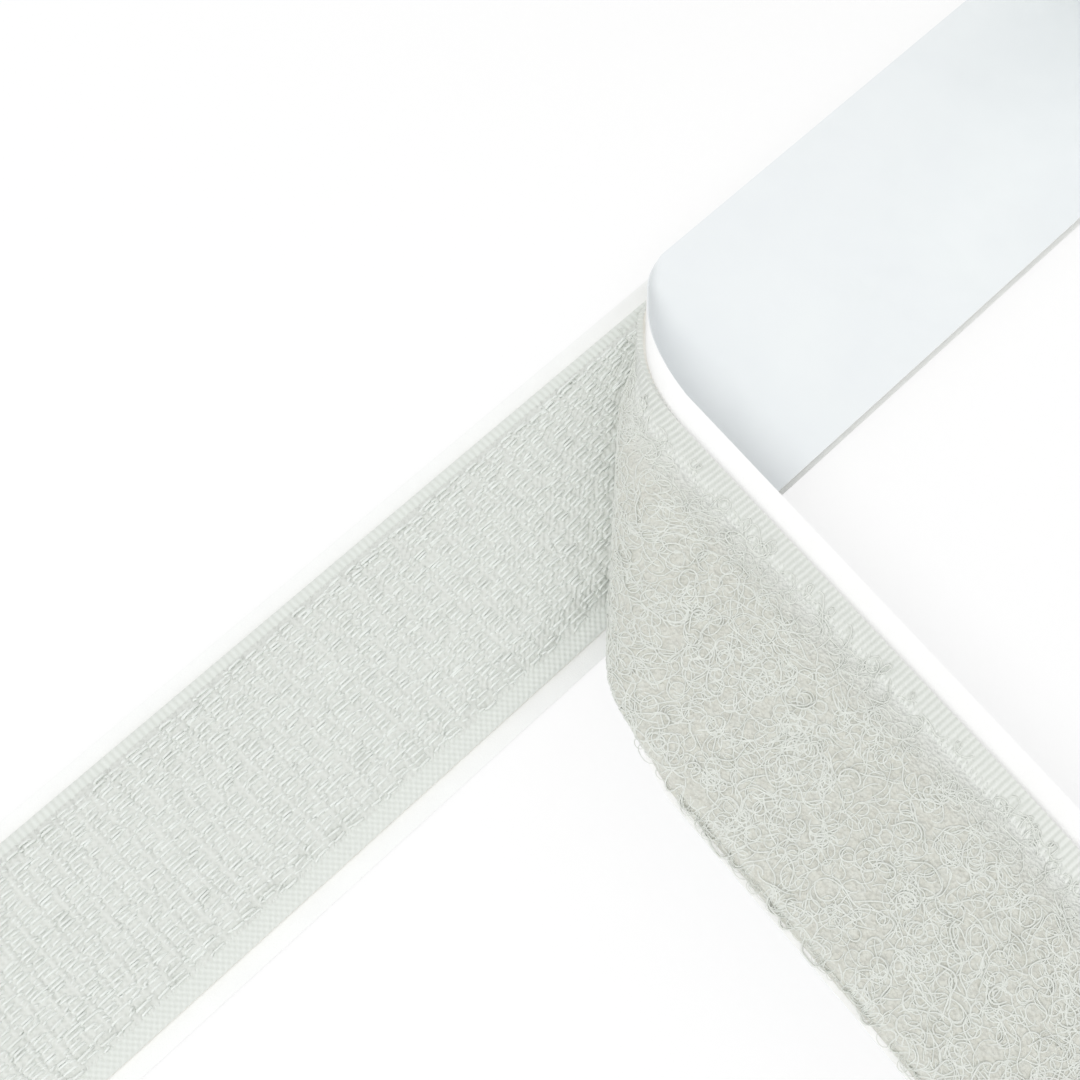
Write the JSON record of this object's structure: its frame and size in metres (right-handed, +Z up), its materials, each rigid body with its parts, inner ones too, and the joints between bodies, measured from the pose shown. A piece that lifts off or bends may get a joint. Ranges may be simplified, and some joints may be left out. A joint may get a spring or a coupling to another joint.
{
  "type": "hook and loop tape roll",
  "caption": "Roll of self-adhesive hook and loop tape on a cardboard core, with its outer end laid flat and the loop tape peeled back from the hooks.",
  "frame": {"origin": "on the underside of the flat strip's liner, on the strip's centreline, just before the fold", "axes": "+X along the flat strip towards the roll, +Y across the strip and along the roll's axis, +Z up from the table"},
  "size_m": [0.2624, 0.1117, 0.1069],
  "materials": {
    "hook_nylon": "matte",
    "loop_nylon": "matte",
    "film_liner": "gloss",
    "paper_liner": "satin",
    "adhesive": "satin",
    "cardboard": "matte"
  },
  "bodies": {
    "roll_and_leader": {"core_tube": "cardboard", "hook_liner": "paper_liner", "hook_adhesive": "adhesive", "hook_tape": "hook_nylon", "hook_rows_1": "hook_nylon", "hook_rows_2": "hook_nylon", "hook_rows_3": "hook_nylon", "hook_rows_4": "hook_nylon", "loop_pile_mated": "loop_nylon", "loop_tape_mated": "loop_nylon", "loop_adhesive_mated": "adhesive", "loop_liner_mated": "film_liner", "loop_pile_bend": "loop_nylon", "loop_tape_bend": "loop_nylon", "loop_adhesive_bend": "adhesive", "loop_liner_bend": "film_liner", "hook_liner_wound": "paper_liner", "hook_tape_wound": "hook_nylon", "loop_tape_wound": "loop_nylon", "loop_liner_wound": "film_liner"},
    "loop_leaf": {"loop_pile_leaf": "loop_nylon", "loop_tape_leaf": "loop_nylon", "loop_adhesive_leaf": "adhesive", "loop_liner_leaf": "film_liner"}
  },
  "joints": [
    {"name": "loop_leaf_fold", "type": "hinge", "parent": "roll_and_leader", "child": "loop_leaf", "pos_m": [0.00267, 0.00415, 0.0075], "axis": [-0.7266, -0.6871, 0], "range_deg": [0, 155], "deforming": ["loop_pile_bend", "loop_tape_bend", "loop_adhesive_bend", "loop_liner_bend"]}
  ]
}
